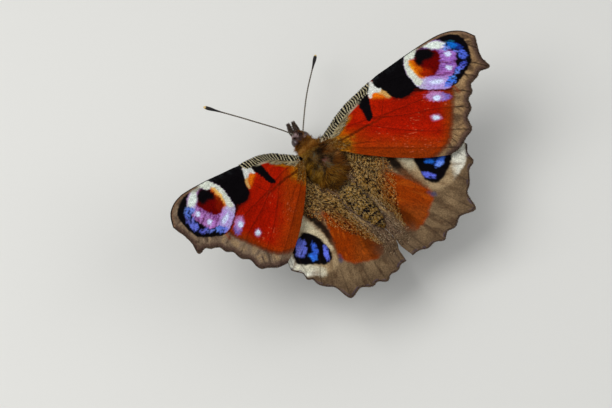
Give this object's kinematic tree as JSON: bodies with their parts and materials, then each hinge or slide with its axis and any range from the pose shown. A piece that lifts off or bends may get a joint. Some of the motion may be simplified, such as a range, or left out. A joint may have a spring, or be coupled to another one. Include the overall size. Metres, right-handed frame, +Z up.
{
  "type": "peacock butterfly",
  "caption": "Butterfly standing with its wings open in a shallow V, with scalloped hooked wings, slender clubbed antennae, furry thorax and tapering abdomen; a life-size still model.",
  "frame": {"origin": "on the floor under the middle of the bounding box", "axes": "+Z up from the floor the animal stands on, +Y the way its head points, +X towards its right wings"},
  "size_m": [0.0562, 0.0434, 0.0233],
  "materials": {
    "fur": "rust-brown fur over dark skin",
    "abdomen": "grey-brown scales speckled with olive gold",
    "head": "mauve-brown fur",
    "eye": "dark faceted eye, satin",
    "forewing": "matt red scales with a peacock eyespot",
    "hindwing": "matt rust-brown and grey scales with a blue eyespot",
    "leg": "brown scaled leg",
    "antenna": "dark antenna with pale rings",
    "club": "black antenna club with a cream tip",
    "palp": "dark hairy palp",
    "proboscis": "brown coiled tongue, satin"
  },
  "bodies": {
    "root": {"head": "head", "thorax": "fur", "abdomen": "abdomen", "eye_left": "eye", "eye_right": "eye", "palp_left": "palp", "palp_right": "palp", "proboscis": "proboscis", "antenna_left": "antenna", "antenna_right": "antenna", "club_left": "club", "club_right": "club", "forewing_left": "forewing", "forewing_right": "forewing", "hindwing_left": "hindwing", "hindwing_right": "hindwing", "foreleg_left": "leg", "foreleg_right": "leg", "femur_mid_left": "leg", "femur_mid_right": "leg", "femur_hind_left": "leg", "femur_hind_right": "leg", "tibia_mid_left": "leg", "tibia_mid_right": "leg", "tibia_hind_left": "leg", "tibia_hind_right": "leg", "foot_mid_left": "leg", "foot_mid_right": "leg", "foot_hind_left": "leg", "foot_hind_right": "leg"}
  },
  "joints": []
}
